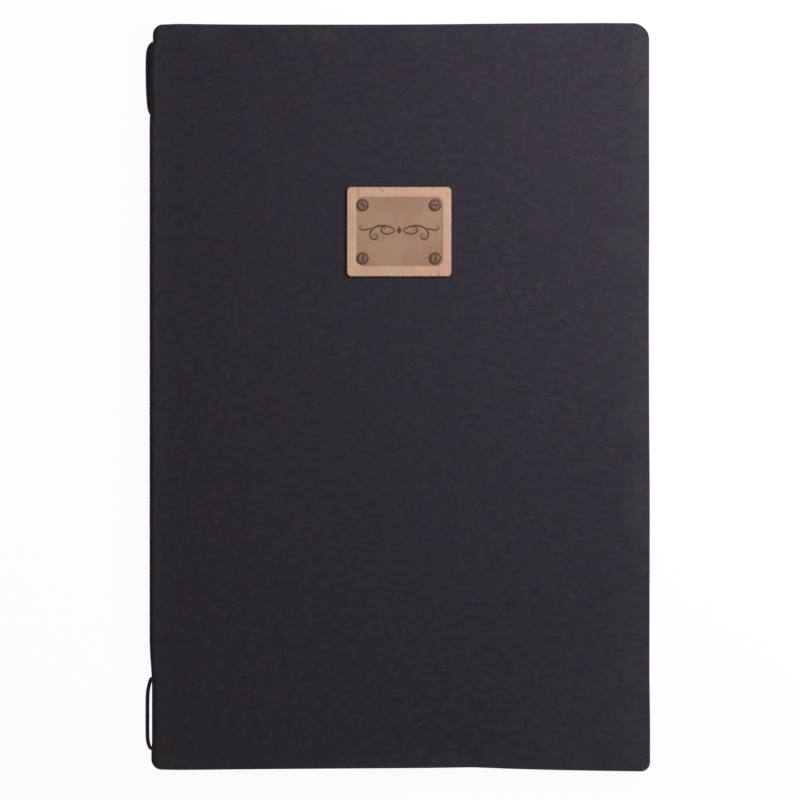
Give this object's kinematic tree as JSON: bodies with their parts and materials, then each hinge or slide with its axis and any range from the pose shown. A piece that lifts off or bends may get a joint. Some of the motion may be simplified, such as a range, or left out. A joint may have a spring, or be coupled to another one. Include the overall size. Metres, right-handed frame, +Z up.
{
  "type": "menu cover",
  "caption": "Closed folding menu cover: soft laminated front, spine and back, riveted leather label, elastic loop through the spine, clear page pockets inside.",
  "frame": {"origin": "centre of the closed cover's width and height, on the back panel's outer face, which it lies on", "axes": "+X from the spine to the fore edge, +Y up the page, +Z up through the closed stack"},
  "size_m": [0.2297, 0.34, 0.0118],
  "materials": {
    "facing": "matt nubuck-look regenerated leather",
    "board": "grey fibre board",
    "lining": "matt lining cloth",
    "elastic": "braided elastic cord",
    "crimp": "drawn tube",
    "label": "vegetable tanned, undyed",
    "rivet": "antique",
    "film": "clear film",
    "page": "blank uncoated card"
  },
  "bodies": {
    "back": {"back_facing": "facing", "back_board": "board", "back_lining": "lining"},
    "spine": {"spine_facing": "facing", "spine_strip": "board", "spine_lining": "lining", "back_fold_facing": "facing", "back_fold_lining": "lining", "front_fold_facing": "facing", "front_fold_lining": "lining", "elastic_cord": "elastic", "elastic_crimp": "crimp", "outer_pocket_web": "film", "inner_pocket_web": "film"},
    "front": {"front_facing": "facing", "front_board": "board", "front_lining": "lining", "label_patch": "label", "label_rivets": "rivet", "rivet_washers": "rivet"},
    "outer_back_leaf": {"outer_back_sleeve": "film", "outer_back_sheet": "page"},
    "inner_back_leaf": {"inner_back_sleeve": "film", "inner_back_sheet": "page"},
    "inner_front_leaf": {"inner_front_sleeve": "film", "inner_front_sheet": "page"},
    "outer_front_leaf": {"outer_front_sleeve": "film", "outer_front_sheet": "page"}
  },
  "joints": [
    {"name": "spine_fold", "type": "hinge", "parent": "back", "child": "spine", "pos_m": [-0.11313, 0, 0.00087], "axis": [0, -1, 0], "range_deg": [0, 90], "deforming": ["back_fold_facing", "back_fold_lining", "outer_pocket_web", "inner_pocket_web"]},
    {"name": "front_fold", "type": "hinge", "parent": "spine", "child": "front", "pos_m": [-0.11313, 0, 0.00913], "axis": [0, -1, 0], "range_deg": [0, 90], "deforming": ["front_fold_facing", "front_fold_lining", "outer_pocket_web", "inner_pocket_web"]},
    {"name": "outer_back_leaf_turn", "type": "hinge", "parent": "spine", "child": "outer_back_leaf", "pos_m": [-0.10939, 0, 0.00326], "axis": [0, -1, 0], "range_deg": [-90, 0], "deforming": ["outer_pocket_web"]},
    {"name": "inner_back_leaf_turn", "type": "hinge", "parent": "spine", "child": "inner_back_leaf", "pos_m": [-0.10856, 0, 0.00409], "axis": [0, -1, 0], "range_deg": [-90, 0], "deforming": ["inner_pocket_web"]},
    {"name": "inner_front_leaf_turn", "type": "hinge", "parent": "spine", "child": "inner_front_leaf", "pos_m": [-0.10856, 0, 0.00591], "axis": [0, -1, 0], "range_deg": [0, 90], "deforming": ["inner_pocket_web"]},
    {"name": "outer_front_leaf_turn", "type": "hinge", "parent": "spine", "child": "outer_front_leaf", "pos_m": [-0.10939, 0, 0.00674], "axis": [0, -1, 0], "range_deg": [0, 90], "deforming": ["outer_pocket_web"]}
  ],
  "couplings": [
    {"joint": "outer_back_leaf_turn", "follows": "spine_fold", "ratio": -1},
    {"joint": "inner_back_leaf_turn", "follows": "spine_fold", "ratio": -1},
    {"joint": "inner_front_leaf_turn", "follows": "front_fold", "ratio": 1},
    {"joint": "outer_front_leaf_turn", "follows": "front_fold", "ratio": 1}
  ]
}
